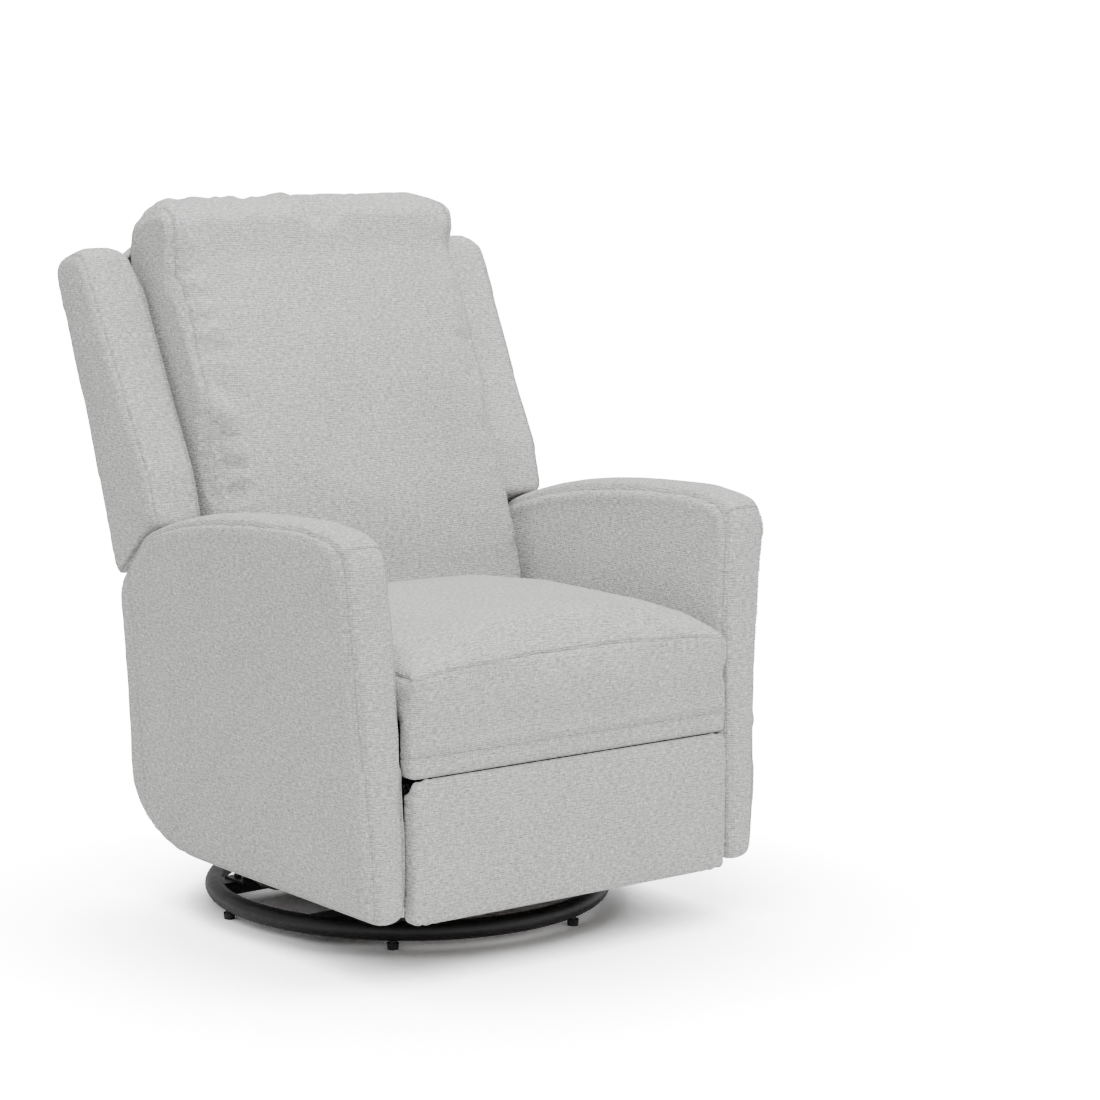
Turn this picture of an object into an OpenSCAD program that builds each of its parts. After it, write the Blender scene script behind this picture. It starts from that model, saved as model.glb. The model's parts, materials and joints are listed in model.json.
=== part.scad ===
// Swivel glider recliner: upholstered seat, back and arms on a gliding, turning steel base.
// The front faces -Y, the floor is Z = 0 and the swivel axis is the Z axis.

/* [Overall] */
// Width over the tops of the arms
chair_w = 780; // [740:5:900]
// Clear width between the arms at the seat
inner_w = 580; // [560:5:660]
// Length of each arm from its front face to its rear edge
arm_len = 640; // [600:5:700]
// Height of the arm's outer seam at its highest point
arm_h = 633; // [600:1:700]
// Height of the arm's lower edge above the floor
skirt_h = 100; // [90:1:130]

/* [Seat and back] */
// Thickness of the seat cushion
cushion_t = 92; // [70:1:120]
// Length of the seat cushion
cushion_len = 525; // [500:5:535]
// Height of the seat frame's timber rails
seat_rail_h = 57; // [50:1:70]
// Length of the back along its slope, from the hinge up
back_len = 765; // [700:5:800]
// Thickness of the back cushion
back_cushion_t = 135; // [100:1:150]
// Slope of the back from upright, degrees
back_rake = 17.6; // [14:0.2:20]
// Depth of each wing at its foot
wing_foot = 140; // [110:1:150]
// Depth of each wing at its top
wing_top = 80; // [60:1:100]

/* [Footrest] */
// Height of the footrest panel
panel_h = 204; // [180:1:206]
// Thickness of the footrest pad
pad_t = 34; // [25:1:38]
// Length of each footrest link between its end pivots
link_len = 178; // [150:1:180]
// Width of each footrest link
link_w = 18; // [14:1:18]
// Thickness of the linkage steel
link_t = 4; // [3:0.5:5]

/* [Base] */
// Radius of the base ring to the middle of its tube
ring_r = 298; // [250:1:320]
// Radius of the base ring's tube
tube_r = 14.5; // [11:0.5:16]
// Number of floor glides under the ring
glide_count = 6; // [4:1:8]
// Length of the hanging glide links between pivots
hanger_len = 122; // [100:1:125]
// Distance from the swivel axis to each row of hangers
hanger_y = 170; // [150:1:175]
// Diameter of the linkage pins
pin_d = 9; // [7:0.5:10]

/* [Hidden] */
$fn = 48;
// Running clearance between parts that slide or turn on each other
run = 0.4;
// Clearance between soft parts and what they rest beside
soft = 2;

steel = "#2b2c2e";
wood = "#c9a877";
cloth = "#c9cbcc";
zinc = "#a9adb0";

// Front face of the seat and of the footrest pad
front_y = -414;
arm_in = inner_w / 2;
arm_out = chair_w / 2;
arm_t = 64;
ring_z = 27;
plate_t = 4;
rail_h = 20;
rail_w = 34;
rail_y = 128;
rail_top = ring_z + rail_h / 2;
rail_half = sqrt(pow(ring_r, 2) - pow(rail_y, 2));
clip_x = 39 - rail_half;

// Swivel bearing
race_r = 72;
ball_r = 4;
ball_count = 24;
ball_z = rail_top + plate_t + 8;
upper_z = ball_z + 8;
bolt_d = 14;

// Glider: plates on the swivel, hangers, then plates on the chassis
frame_x = 150;
hanger_x = frame_x + link_t + 2;
chassis_x = hanger_x + link_t + 2;
frame_bottom = upper_z + plate_t;
hanger_top_z = 228;
hanger_low_z = hanger_top_z - hanger_len;
stretcher_z = 255;
stretcher_t = 30;
stretcher_y = 220;
track_z = stretcher_z + stretcher_t;
deck_h = track_z + 30 + seat_rail_h;
arm_rear = stretcher_y + stretcher_t / 2 + 3;
arm_front = arm_rear - arm_len;

// Seat mechanism plates and the footrest linkage beside them
mech_gap = 47;
link_gap = 8;
mech_x = arm_in - mech_gap;
link_a_x = mech_x - link_t - link_gap;
link_b_x = link_a_x - link_t - 1.5;
slope = 8;
stow = 82;
drive_y = -272;
drive_z = 268;
hinge_y = 171;
hinge_z = track_z + 47;
block_h = 15;

function turn(len, ang) = [-len * cos(ang), len * sin(ang)];
dir_b = slope - stow;
dir_c = slope + stow;
p_drive = [drive_y, drive_z];
b_end = p_drive + turn(link_len, dir_b);
b_mid = p_drive + turn(link_len / 2, dir_b);
slot_pin = p_drive + turn(2 * link_len / 2 * sin(stow), slope - 90);
c_end = slot_pin + turn(link_len, dir_c);
d_end = b_end + turn(link_len, dir_c);
d_mid = b_end + turn(link_len / 2, dir_c);
e_end = c_end + turn(link_len, dir_b);
f_end = e_end + turn(link_len / 2, dir_c);
panel_top = 290;
board_t = 10;
pad_y = front_y + pad_t;
board_y = pad_y + board_t;

back_t = 24;
post_w = 45;
wing_out = arm_out - 8;
wing_drop = 90;
wing_gap = 6;
frame_top = back_len - wing_drop + 19;
crown_z = hinge_z + back_len * cos(back_rake);
wing_z = hinge_z + (back_len - wing_drop) * cos(back_rake);
handle_x = arm_in - 5;
handle_pin = [-60, deck_h + 28];

module mirror_x() {
    children();
    mirror([1, 0, 0]) children();
}

// A box from its lower corner to its upper corner
module box(low, high) {
    translate(low) cube(high - low);
}

// Extrudes an outline drawn in (Y, Z) along X from x0 for a thickness t
module slab_yz(x0, t) {
    translate([x0, 0, 0]) rotate([90, 0, 90]) linear_extrude(t) children();
}

// Extrudes an outline drawn in (X, Z) along Y from y0 for a length t
module slab_xz(y0, t) {
    translate([0, y0 + t, 0]) rotate([90, 0, 0]) linear_extrude(t) children();
}

// A round pin along X, centred on a (Y, Z) point
module pin_x(p, x0, x1, d) {
    translate([x0, p[0], p[1]]) rotate([0, 90, 0]) cylinder(h = x1 - x0, d = d);
}

// A flat bar in a YZ plane between two points, with round ends and bores
module bar(p, q, x0, t, w, holes, d) {
    difference() {
        slab_yz(x0, t) hull() {
            translate(p) circle(d = w, $fn = 32);
            translate(q) circle(d = w, $fn = 32);
        }
        for (h = holes) pin_x(h, x0 - 1, x0 + t + 1, d);
    }
}

// A point on the back at height s along its slope and t in front of its rear plane
function on_back(s, t) = [
    hinge_y + 12 + s * sin(back_rake) - t * cos(back_rake),
    hinge_z + s * cos(back_rake) + t * sin(back_rake)];

// Places children in the back's own frame: Z up the slope, Y to the rear
module back_frame() {
    translate([0, hinge_y + 12, hinge_z]) rotate([-back_rake, 0, 0]) children();
}

// ---------- base ----------
module base_ring() {
    color(steel) translate([0, 0, ring_z]) rotate_extrude($fn = 96)
        translate([ring_r, 0]) circle(r = tube_r, $fn = 32);
}

module floor_glides() {
    glide_low = ring_z - tube_r;
    color("#161616")
    for (i = [0 : glide_count - 1]) rotate([0, 0, 350 + i * 360 / glide_count])
        translate([ring_r, 0, 0]) {
            cylinder(h = glide_low - 3, d1 = 16, d2 = 18);
            translate([0, 0, glide_low - 3]) cylinder(h = 9, d = 10);
        }
}

module base_cross_rails() {
    color(steel)
    for (s = [-1, 1]) difference() {
        box([-rail_half, s * rail_y - rail_w / 2, ring_z - rail_h / 2],
            [rail_half, s * rail_y + rail_w / 2, rail_top]);
        box([-rail_half - 1, s * rail_y - rail_w / 2 + 2.5, ring_z - rail_h / 2 + 2.5],
            [rail_half + 1, s * rail_y + rail_w / 2 - 2.5, rail_top - 2.5]);
    }
}

module swivel_lower_plate() {
    color(steel) difference() {
        union() {
            box([-95, -rail_y - rail_w / 2, rail_top], [95, rail_y + rail_w / 2, rail_top + plate_t]);
            translate([0, 0, rail_top + plate_t]) difference() {
                cylinder(h = 6.5, r = race_r + 9);
                translate([0, 0, -1]) cylinder(h = 9, r = race_r - 9);
            }
        }
        translate([0, 0, ball_z]) rotate_extrude()
            translate([race_r, 0]) circle(r = ball_r + 0.05);
        translate([0, 0, rail_top - 1]) cylinder(h = plate_t + 2, d = bolt_d);
    }
}

module swivel_balls() {
    color(zinc)
    for (i = [0 : ball_count - 1]) rotate([0, 0, i * 360 / ball_count])
        translate([race_r, 0, ball_z]) sphere(r = ball_r, $fn = 24);
}

// Bolt head below, shank through both plates and a lock nut above
module swivel_bolt() {
    top = frame_bottom + 0.5;
    color(zinc) {
        translate([0, 0, rail_top - 9]) cylinder(h = 9, d = 26, $fn = 6);
        translate([0, 0, rail_top]) cylinder(h = top + 12 - rail_top, d = bolt_d);
        translate([0, 0, top]) difference() {
            cylinder(h = 10, d = 27, $fn = 6);
            translate([0, 0, -1]) cylinder(h = 12, d = bolt_d);
        }
    }
}

// Small tab with its bolt on the rear cross rail's end, which holds the lock cable
module cable_bracket() {
    color(steel) {
        box([clip_x - 15, rail_y - 38, rail_top], [clip_x + 15, rail_y + 12, rail_top + 3]);
        box([clip_x - 15, rail_y - 41, rail_top - 6], [clip_x + 15, rail_y - 38, rail_top + 12]);
        translate([clip_x, rail_y - 2, rail_top + 3]) cylinder(h = 6, d = 13, $fn = 6);
    }
}

// Bowden cable clipped to the bracket, bent round to the swivel's edge. X is a share of clip_x
// and Z is measured from the top of the rails.
CABLE = [[1, 87, 6], [1.01, 72, 11], [1.06, 52, 14], [1.087, 26, 13], [1.057, 4, 12],
    [0.983, -10, 12], [0.87, -15, 11], [0.739, -12, 10], [0.609, -8, 10], [0.487, -5, 10]];

// Sweeps a round tube along a route that runs nearly level
module tube(route, d, sides) {
    count = len(route);
    function along(i) = route[min(i + 1, count - 1)] - route[max(i - 1, 0)];
    function across(i) = cross(along(i), [0, 0, 1]) / norm(cross(along(i), [0, 0, 1]));
    function above(i) = cross(across(i), along(i)) / norm(along(i));
    polyhedron(
        points = [for (i = [0 : count - 1]) for (k = [0 : sides - 1])
            route[i] + d / 2 * (cos(k * 360 / sides) * across(i) + sin(k * 360 / sides) * above(i))],
        faces = concat(
            [[for (k = [0 : sides - 1]) k]],
            [for (i = [0 : count - 2]) for (k = [0 : sides - 1]) let (n = (k + 1) % sides)
                [i * sides + n, i * sides + k, (i + 1) * sides + k, (i + 1) * sides + n]],
            [[for (k = [sides - 1 : -1 : 0]) (count - 1) * sides + k]]));
}

module lock_cable() {
    color("#111111") tube([for (p = CABLE) [clip_x * p[0], p[1], rail_top + p[2]]], 5, 10);
}

// ---------- swivel and glider ----------
module swivel_upper_plate() {
    color(steel) difference() {
        union() {
            box([-frame_x, -150, upper_z], [frame_x, 150, upper_z + plate_t]);
            translate([0, 0, ball_z + 1.5]) difference() {
                cylinder(h = upper_z - ball_z - 1.5, r = race_r + 9);
                translate([0, 0, -1]) cylinder(h = 9, r = race_r - 9);
            }
        }
        translate([0, 0, ball_z]) rotate_extrude()
            translate([race_r, 0]) circle(r = ball_r + run);
        translate([0, 0, ball_z]) cylinder(h = 20, d = bolt_d + 2 * run);
    }
}

// Side plate of the glider: a low sill with an upright at each end for the hanger pins
module glider_frame(side) {
    color(steel) difference() {
        union() {
            slab_yz(side > 0 ? frame_x : -frame_x - link_t, link_t) {
                translate([-hanger_y - 15, upper_z]) square([2 * hanger_y + 30, 34]);
                for (s = [-1, 1]) hull() {
                    translate([s * hanger_y, hanger_top_z]) circle(d = 30);
                    translate([s * (hanger_y - 6) - 20, upper_z]) square([40, 10]);
                }
            }
        }
        for (s = [-1, 1])
            pin_x([s * hanger_y, hanger_top_z], -chassis_x - 9, chassis_x + 9, pin_d);
    }
}

module glider_frame_left() { glider_frame(1); }

module glider_frame_right() { glider_frame(-1); }

// Two tubes hold the side plates square, and a stub pin stands out of each upright
module glider_cross_tubes() {
    color(steel) {
        for (s = [-1, 1]) difference() {
            pin_x([s * 120, upper_z + 18], -frame_x, frame_x, 22);
            pin_x([s * 120, upper_z + 18], -frame_x - 1, frame_x + 1, 17);
        }
        mirror_x() for (s = [-1, 1]) {
            pin_x([s * hanger_y, hanger_top_z], frame_x, hanger_x + link_t + 0.8, pin_d);
            pin_x([s * hanger_y, hanger_top_z], frame_x - 4, frame_x, 16);
        }
    }
}

module hangers(s) {
    high = [s * hanger_y, hanger_top_z];
    low = [s * hanger_y, hanger_low_z];
    color(zinc) mirror_x()
        bar(high, low, hanger_x, link_t, 24, [high, low], pin_d + run);
}

module hangers_front() { hangers(-1); }

module hangers_rear() { hangers(1); }

// ---------- chassis ----------
// Carrier plate of the chassis, hung on the lower hanger pins
module chassis_plate(side) {
    outer = stretcher_y + stretcher_t / 2;
    inner = stretcher_y - stretcher_t / 2;
    color(steel) mirror([side > 0 ? 0 : 1, 0, 0]) {
        slab_yz(chassis_x, link_t) {
            translate([-outer, hanger_low_z - 14]) square([2 * outer, 30]);
            for (s = [-1, 1]) translate([s > 0 ? inner : -outer, hanger_low_z - 14])
                square([stretcher_t, stretcher_z - hanger_low_z + 14]);
        }
        for (s = [-1, 1]) pin_x([s * hanger_y, hanger_low_z], frame_x + link_t + 0.8, chassis_x, pin_d);
    }
}

module chassis_plate_left() { chassis_plate(1); }

module chassis_plate_right() { chassis_plate(-1); }

module stretcher(s) {
    color(wood) box([-arm_in, s * stretcher_y - stretcher_t / 2, stretcher_z],
        [arm_in, s * stretcher_y + stretcher_t / 2, track_z]);
}

module front_stretcher() { stretcher(-1); }

module rear_stretcher() { stretcher(1); }

// Channel on the stretchers that the seat's slide blocks run in
module slide_track(side) {
    high = track_z + 3 + block_h + 2 * run;
    color(zinc) mirror([side > 0 ? 0 : 1, 0, 0]) difference() {
        box([mech_x + link_t + 2, -stretcher_y - 15, track_z],
            [mech_x + link_t + 18, stretcher_y + 15, high + 3]);
        box([mech_x + link_t + 1, -stretcher_y - 16, track_z + 3],
            [mech_x + link_t + 15, stretcher_y + 16, high]);
    }
}

module slide_track_left() { slide_track(1); }

module slide_track_right() { slide_track(-1); }

// Side outline of an arm: straight front, arched top, big round at the foot of the rear edge
module arm_outline(grow) {
    low = skirt_h;
    offset(delta = grow) polygon(concat(
        [[arm_front, low], [arm_front + 22, arm_h - 32]],
        [for (a = [165 : -25 : 90]) [arm_front + 52 + 28 * cos(a), arm_h - 34 + 30 * sin(a)]],
        [for (u = [0.1 : 0.1 : 0.95])
            [arm_front + 60 + u * (arm_len - 90), arm_h + 5 - 8 * u - 82 * pow(u, 3.2)]],
        [for (a = [50 : -25 : 0]) [arm_rear - 32 + 26 * cos(a), arm_h - 145 + 22 * sin(a)]],
        [for (a = [0 : -15 : -90]) [arm_rear - 165 + 165 * cos(a), low + 95 + 95 * sin(a)]]));
}

// Front outline of an arm: near upright below, flaring outward to the top
module arm_section(grow) {
    top = arm_h + 13;
    foot_out = arm_in + arm_t - 3;
    lean = arm_out - foot_out;
    offset(delta = grow) polygon(concat(
        [[arm_in, skirt_h], [arm_in, 360], [arm_in + 6, 500], [arm_in + 16, top - 70]],
        [for (a = [180 : -22.5 : 90]) [arm_in + 42 + 24 * cos(a), top - 26 + 26 * sin(a)]],
        [for (a = [67.5 : -22.5 : 0]) [arm_out - 24 + 24 * cos(a), top - 26 + 26 * sin(a)]],
        [for (u = [0.8 : -0.2 : 0]) [foot_out + lean * pow(u, 1.4), skirt_h + u * (top - skirt_h)]]));
}

module arm_shape(grow) {
    intersection() {
        slab_yz(0, arm_out + 50) arm_outline(grow);
        slab_xz(arm_front - 50, arm_len + 100) arm_section(grow);
    }
}

// Timbers inside an arm: two posts, a sill and a top rail
module arm_timbers(grow) {
    x0 = arm_in + 24 - grow;
    x1 = arm_in + arm_t - 14 + grow;
    front = arm_front + 85 + grow;
    top = arm_h - 48 + grow;
    box([x0, arm_front + 40 - grow, skirt_h + 15 - grow], [x1, front, top]);
    box([x0, arm_rear - 88 - grow, skirt_h + 45 - grow], [x1, arm_rear - 43 + grow, top - 115]);
    box([x0, front, arm_h - 88], [x1, arm_rear - 198, top]);
    box([x0, front, skirt_h + 15 - grow], [x1, arm_rear - 178, skirt_h + 60 + grow]);
}

module arm_frame(side) {
    color(wood) mirror([side > 0 ? 0 : 1, 0, 0]) arm_timbers(0);
}

module arm_frame_left() { arm_frame(1); }

module arm_frame_right() { arm_frame(-1); }

module arm_pad(side) {
    color(cloth) mirror([side > 0 ? 0 : 1, 0, 0]) difference() {
        arm_shape(0);
        arm_timbers(run);
    }
}

module arm_pad_left() { arm_pad(1); }

module arm_pad_right() { arm_pad(-1); }

module lower_back_panel() {
    color(cloth) box([-arm_in + 1, stretcher_y + 15, skirt_h + 45],
        [arm_in - 1, stretcher_y + 27, hinge_z + 8]);
}

// ---------- seat ----------
// Steel side plate: carries the slide blocks, the footrest linkage and the back hinge
module mechanism_plate(side) {
    color(zinc) mirror([side > 0 ? 0 : 1, 0, 0]) {
        difference() {
            slab_yz(mech_x, link_t) {
                translate([drive_y - 20, track_z + 5]) square([hinge_y - drive_y + 38, 55]);
                translate([drive_y - 56, slot_pin[1] - 16])
                    square([75, track_z + 60 - slot_pin[1] + 16]);
            }
            pin_x([hinge_y, hinge_z], mech_x - 1, mech_x + link_t + 1, pin_d + run);
            pin_x(p_drive, mech_x - 1, mech_x + link_t + 1, pin_d + 3 + run);
            bar(slot_pin, slot_pin + 0.9 * (p_drive - slot_pin), mech_x - 1, link_t + 2,
                pin_d + 2, [], 1);
        }
    }
}

module mechanism_plate_left() { mechanism_plate(1); }

module mechanism_plate_right() { mechanism_plate(-1); }

// Nylon blocks riveted to the plates, running in the tracks
module slide_blocks() {
    color("#e9e6dc") mirror_x() for (y = [-170, 130])
        box([mech_x + link_t, y, track_z + 3 + run],
            [mech_x + link_t + 13, y + 45, track_z + 3 + run + block_h]);
}

module seat_rail_side(side) {
    color(wood) mirror([side > 0 ? 0 : 1, 0, 0])
        box([mech_x + link_t, front_y + 42, track_z + 30], [mech_x + link_t + 26, 120, deck_h]);
}

module seat_rail_left() { seat_rail_side(1); }

module seat_rail_right() { seat_rail_side(-1); }

module seat_rail_front() {
    color(wood) box([-mech_x, front_y + 42, track_z + 30], [mech_x, front_y + 64, deck_h]);
}

module seat_rail_rear() {
    color(wood) box([-mech_x, 98, track_z + 45], [mech_x, 120, deck_h]);
}

// Zigzag springs between the front and rear seat rails
module zigzag(x0, length, pitch, swing) {
    steps = floor(length / pitch);
    step = length / steps;
    for (i = [0 : steps - 1]) {
        side = i % 2 == 0 ? 1 : -1;
        translate([x0 - swing, i * step, 0]) rotate([0, 90, 0]) cylinder(h = 2 * swing, d = 4, $fn = 12);
        translate([x0 + side * swing, i * step - 2, -2]) cube([4, step + 4, 4]);
    }
    translate([x0 - swing, length, 0]) rotate([0, 90, 0]) cylinder(h = 2 * swing, d = 4, $fn = 12);
}

module seat_springs() {
    color(zinc) for (i = [-2 : 2])
        translate([0, front_y + 66.5, deck_h - 8])
            zigzag(i * (mech_x - 59) / 2, 94 - front_y - 66, 55, 22);
}

module seat_cushion() {
    half = arm_in - 12;
    color(cloth) intersection() {
        slab_yz(-half, 2 * half) offset(r = 22) offset(delta = -22)
            translate([front_y, deck_h + run]) square([cushion_len, cushion_t]);
        slab_xz(front_y - 10, cushion_len + 20) polygon([
            [-half, deck_h], [half, deck_h], [half, deck_h + cushion_t - 24],
            [half * 0.6, deck_h + cushion_t], [-half * 0.6, deck_h + cushion_t],
            [-half, deck_h + cushion_t - 24]]);
    }
}

// Padded band across the front of the seat, below the cushion
module seat_front_band() {
    color(cloth) box([-arm_in + 6, front_y + 2, panel_top + 10],
        [arm_in - 6, front_y + 42, deck_h]);
}

// ---------- back ----------
// Steel bracket from the back's post down to the hinge
module back_bracket(side) {
    color(zinc) mirror([side > 0 ? 0 : 1, 0, 0]) {
        bar([hinge_y, hinge_z], on_back(150, back_t / 2 + 2), mech_x - link_t - 1, link_t, 22, [], 1);
        pin_x([hinge_y, hinge_z], mech_x - 1, mech_x + link_t + 2, pin_d);
    }
}

module back_bracket_left() { back_bracket(1); }

module back_bracket_right() { back_bracket(-1); }

module back_post(side) {
    color(wood) back_frame() mirror([side > 0 ? 0 : 1, 0, 0])
        box([mech_x - link_t - 1 - post_w, -back_t, 30], [mech_x - link_t - 1, 0, frame_top]);
}

module back_post_left() { back_post(1); }

module back_post_right() { back_post(-1); }

module back_rail(low, high) {
    inner = mech_x - link_t - 1 - post_w;
    color(wood) back_frame() box([-inner, -back_t, low], [inner, 0, high]);
}

module back_rail_top() { back_rail(frame_top - 55, frame_top); }

module back_rail_bottom() { back_rail(45, 90); }

module back_springs() {
    inner = mech_x - link_t - 1 - post_w;
    color(zinc) back_frame() for (i = [-1 : 1])
        translate([0, -back_t / 2, 92.5]) rotate([90, 0, 0])
            zigzag(i * (inner - 28) / 1.5, frame_top - 55 - 95, 62, 22);
}

// Padded back cushion, cut level over the seat
module back_cushion() {
    half = arm_in - 14;
    top = back_len - 8;
    color(cloth) intersection() {
        back_frame() slab_yz(-half, 2 * half) polygon(concat(
            [[-back_t - soft, 100], [-back_t - back_cushion_t, 60], [-back_t - back_cushion_t - 4, 160],
            [-back_t - back_cushion_t, 420], [-back_t - back_cushion_t + 22, top - 120]],
            [for (a = [170 : -20 : 10])
                [-back_t - 62 + 59 * cos(a), top - 65 + 65 * sin(a)]],
            [[-back_t - soft, top - 75]]));
        slab_xz(-100, 700) polygon([[-half, deck_h + cushion_t + soft], [half, deck_h + cushion_t + soft],
            [half, crown_z - 16], [half - 26, crown_z + 39], [-half + 26, crown_z + 39],
            [-half, crown_z - 16]]);
    }
}

// Outline of a wing from the front: it flares outward to the top
module wing_section() {
    polygon([
        [arm_in - 12, arm_h - 153], [arm_in - 12, wing_z - 45], [arm_in + 2, wing_z + 10],
        [arm_in + 30, wing_z + 23], [wing_out - 22, wing_z + 23], [wing_out, wing_z],
        [wing_out - 2, wing_z - 75], [wing_out - 14, arm_h - 33], [wing_out - 18, arm_h - 153]]);
}

// Wing beside the back cushion, cut to stand clear over the arm
module wing(side) {
    foot = (arm_h - hinge_z) / cos(back_rake) - 132.78;
    top = back_len - wing_drop;
    color(cloth) mirror([side > 0 ? 0 : 1, 0, 0]) difference() {
        intersection() {
            back_frame() slab_yz(arm_in - 20, 200) polygon(concat(
                [[12, foot], [12, top - 14], [0, top], [-wing_top + 34, top + 8]],
                [for (a = [110 : 20 : 180])
                    [-wing_top + 42 + 30 * cos(a), top - 22 + 30 * sin(a)]],
                [[-wing_foot + 12, foot + 130], [-wing_foot + 12, foot + 51],
                [-wing_foot + 50, foot + 43]]));
            slab_xz(0, 600) wing_section();
        }
        slab_yz(0, wing_out + 20) arm_outline(wing_gap);
    }
}

module wing_left() { wing(1); }

module wing_right() { wing(-1); }

// Outside back: a skin over the rear of the frame, turned over its top
module outside_back() {
    half = arm_in - 12;
    top = back_len - wing_drop;
    color(cloth) back_frame() {
        box([-half, run, 30], [half, 12, top + 20]);
        box([-half, -back_t, top + 20], [half, 12, top + 32]);
    }
}

// ---------- footrest linkage ----------
module links(p, q, x, holes) {
    color(steel) mirror_x() bar(p, q, x, link_t, link_w, holes, pin_d - 1 + run);
}

// Shaft across the chair that turns both inner links together
module drive_shaft() {
    color(steel) pin_x(p_drive, -mech_x - link_t - 2, mech_x + link_t + 2, pin_d + 3);
}

module inner_links() {
    color(steel) mirror_x() difference() {
        bar(p_drive, b_end, link_a_x, link_t, link_w, [b_mid, b_end], pin_d - 1 + run);
        pin_x(p_drive, link_a_x - 1, link_a_x + link_t + 1, pin_d + 3);
    }
}

module rivet(p, x0, x1) {
    pin_x(p, x0, x1, pin_d - 1);
}

// Links crossed with the inner ones, with the pin that runs in the plate's slot
module cross_links() {
    links(slot_pin, c_end, link_b_x, [c_end]);
    color(zinc) mirror_x() {
        rivet(b_mid, link_b_x + link_t, link_a_x + link_t + 1);
        rivet(slot_pin, link_b_x + link_t, mech_x + link_t + 1);
    }
}

module outer_cross_links() {
    links(b_end, d_end, link_b_x, [d_mid, d_end]);
    color(zinc) mirror_x() rivet(b_end, link_b_x + link_t, link_a_x + link_t + 1);
}

module outer_links() {
    links(c_end, e_end, link_a_x, [e_end]);
    color(zinc) mirror_x() {
        rivet(d_mid, link_b_x - 1, link_a_x);
        rivet(c_end, link_b_x - 1, link_a_x);
    }
}

module half_links() {
    links(e_end, f_end, link_b_x, [f_end]);
    color(zinc) mirror_x() rivet(e_end, link_b_x + link_t, link_a_x + link_t + 1);
}

// Brackets that carry the board, parallel to the inner links
module footrest_brackets() {
    color(steel) mirror_x() {
        bar(d_end, f_end, link_a_x, link_t, link_w, [], 1);
        box([link_a_x, board_y, d_end[1] - 60], [link_a_x + link_t, d_end[0] - 12, d_end[1] - 8]);
        box([link_a_x, board_y, d_end[1] - 100], [link_a_x + 22, board_y + 3, d_end[1]]);
        rivet(d_end, link_b_x - 1, link_a_x);
        rivet(f_end, link_b_x - 1, link_a_x);
    }
}

module footrest_board() {
    color(wood) box([-arm_in + 20, pad_y, panel_top - panel_h + 14],
        [arm_in - 20, board_y, panel_top - 16]);
}

// Padded panel, thinner along its top edge so that it swings out under the seat's band
module footrest_pad() {
    color(cloth) difference() {
        slab_xz(front_y, pad_t - run) offset(r = 16) offset(delta = -16)
            translate([-arm_in + 4, panel_top - panel_h]) square([2 * arm_in - 8, panel_h]);
        box([-arm_in, front_y + pad_t / 2, panel_top - 16], [arm_in, pad_y + 1, panel_top + 1]);
    }
}

// ---------- release ----------
// Paddle between the cushion and the right arm, pulled back to free the footrest
module release_handle() {
    p = handle_pin;
    color("#1b1b1c") difference() {
        bar(p, p + [-14, 112], -handle_x, link_t, 22, [p], 8 + run);
        pin_x(p + [-10, 82], -handle_x - 1, -handle_x + link_t + 1, 12);
    }
}

module handle_pivot() {
    color(zinc) pin_x(handle_pin, -arm_in, -handle_x + link_t + 1, 8);
}

base_ring();
floor_glides();
base_cross_rails();
swivel_lower_plate();
swivel_balls();
swivel_bolt();
cable_bracket();
lock_cable();
swivel_upper_plate();
glider_frame_left();
glider_frame_right();
glider_cross_tubes();
hangers_front();
hangers_rear();
chassis_plate_left();
chassis_plate_right();
front_stretcher();
rear_stretcher();
slide_track_left();
slide_track_right();
arm_frame_left();
arm_frame_right();
arm_pad_left();
arm_pad_right();
lower_back_panel();
mechanism_plate_left();
mechanism_plate_right();
slide_blocks();
seat_rail_left();
seat_rail_right();
seat_rail_front();
seat_rail_rear();
seat_springs();
seat_cushion();
seat_front_band();
back_bracket_left();
back_bracket_right();
back_post_left();
back_post_right();
back_rail_top();
back_rail_bottom();
back_springs();
back_cushion();
wing_left();
wing_right();
outside_back();
drive_shaft();
inner_links();
cross_links();
outer_cross_links();
outer_links();
half_links();
footrest_brackets();
footrest_board();
footrest_pad();
release_handle();
handle_pivot();
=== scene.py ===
# %% [markdown]
# # An upholstered glider recliner, built round its frame
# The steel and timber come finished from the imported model. What is left to make here is what a
# hand and an eye meet first: the cloth covers, their seams and stitches, and the finish of every
# part. The frame is loaded first, because each cover takes its place from it.

# %% Load the frame
import json
import math

import bpy
import numpy as np
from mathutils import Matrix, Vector, kdtree
from mathutils.bvhtree import BVHTree


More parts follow.
